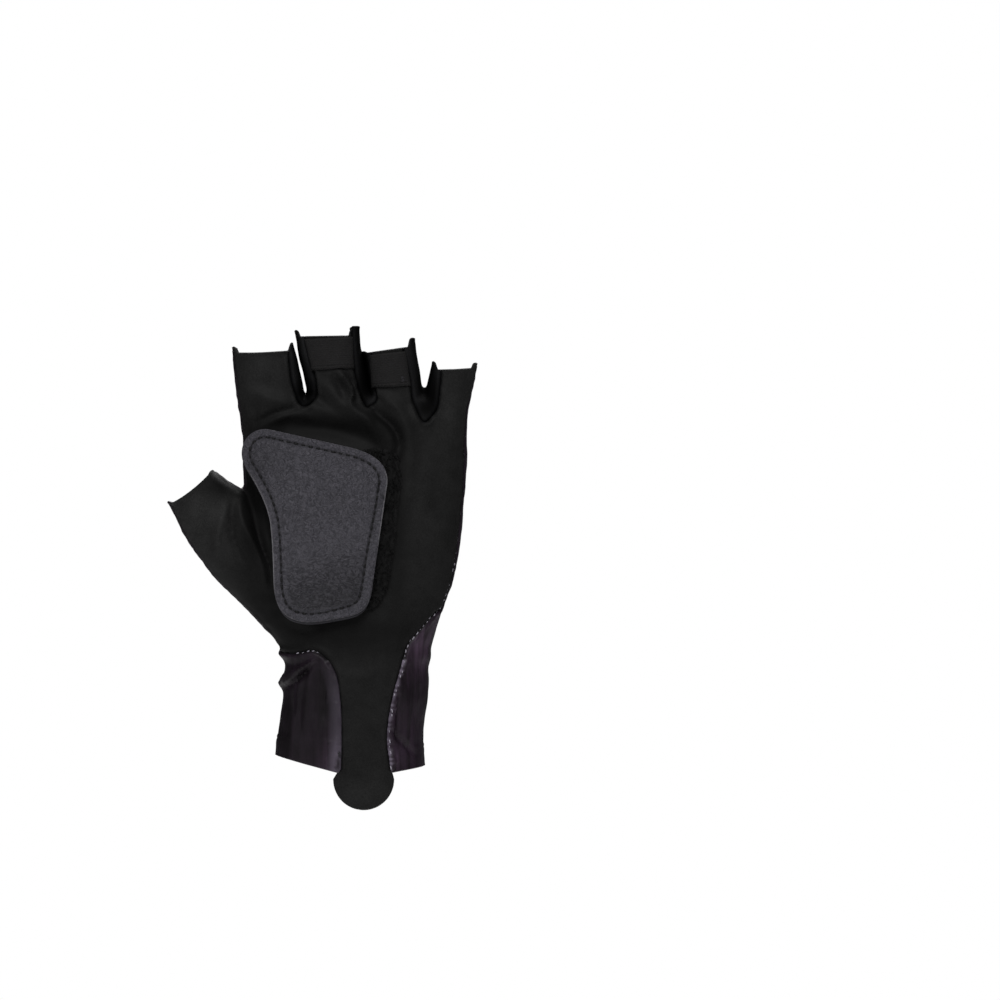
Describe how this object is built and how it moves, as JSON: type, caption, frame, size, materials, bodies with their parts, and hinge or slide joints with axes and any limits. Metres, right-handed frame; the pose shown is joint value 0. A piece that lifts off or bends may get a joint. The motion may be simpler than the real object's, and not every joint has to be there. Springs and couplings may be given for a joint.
{
  "type": "fingerless speed skating glove",
  "caption": "Left-hand fingerless glove with suede palm, stretch back and cuff, a stitched leather palm pad on hook and loop, and a round pull tongue at the wrist.",
  "frame": {"origin": "middle of the cuff's mouth, where the wrist goes in", "axes": "+X towards the little-finger side, +Z towards the fingertips, the palm faces -Y"},
  "size_m": [0.1236, 0.0435, 0.1935],
  "materials": {
    "palm_suede": "matte black microsuede",
    "stretch_fabric": "plum-black stretch knit",
    "gusset_fabric": "plum-black stretch knit",
    "tab_elastic": "ribbed black elastic",
    "loop_fleece": "black hook-and-loop fleece",
    "hook_backing": "black woven hook backing",
    "pad_leather": "grained charcoal leather"
  },
  "bodies": {
    "root": {"palm_panel": "palm_suede", "back_panel": "stretch_fabric", "gusset_index_middle": "gusset_fabric", "gusset_middle_ring": "gusset_fabric", "gusset_ring_little": "gusset_fabric", "pull_tab_middle": "tab_elastic", "pull_tab_ring": "tab_elastic", "loop_patch": "loop_fleece", "pad_backing": "hook_backing", "pad_cover": "pad_leather"}
  },
  "joints": []
}
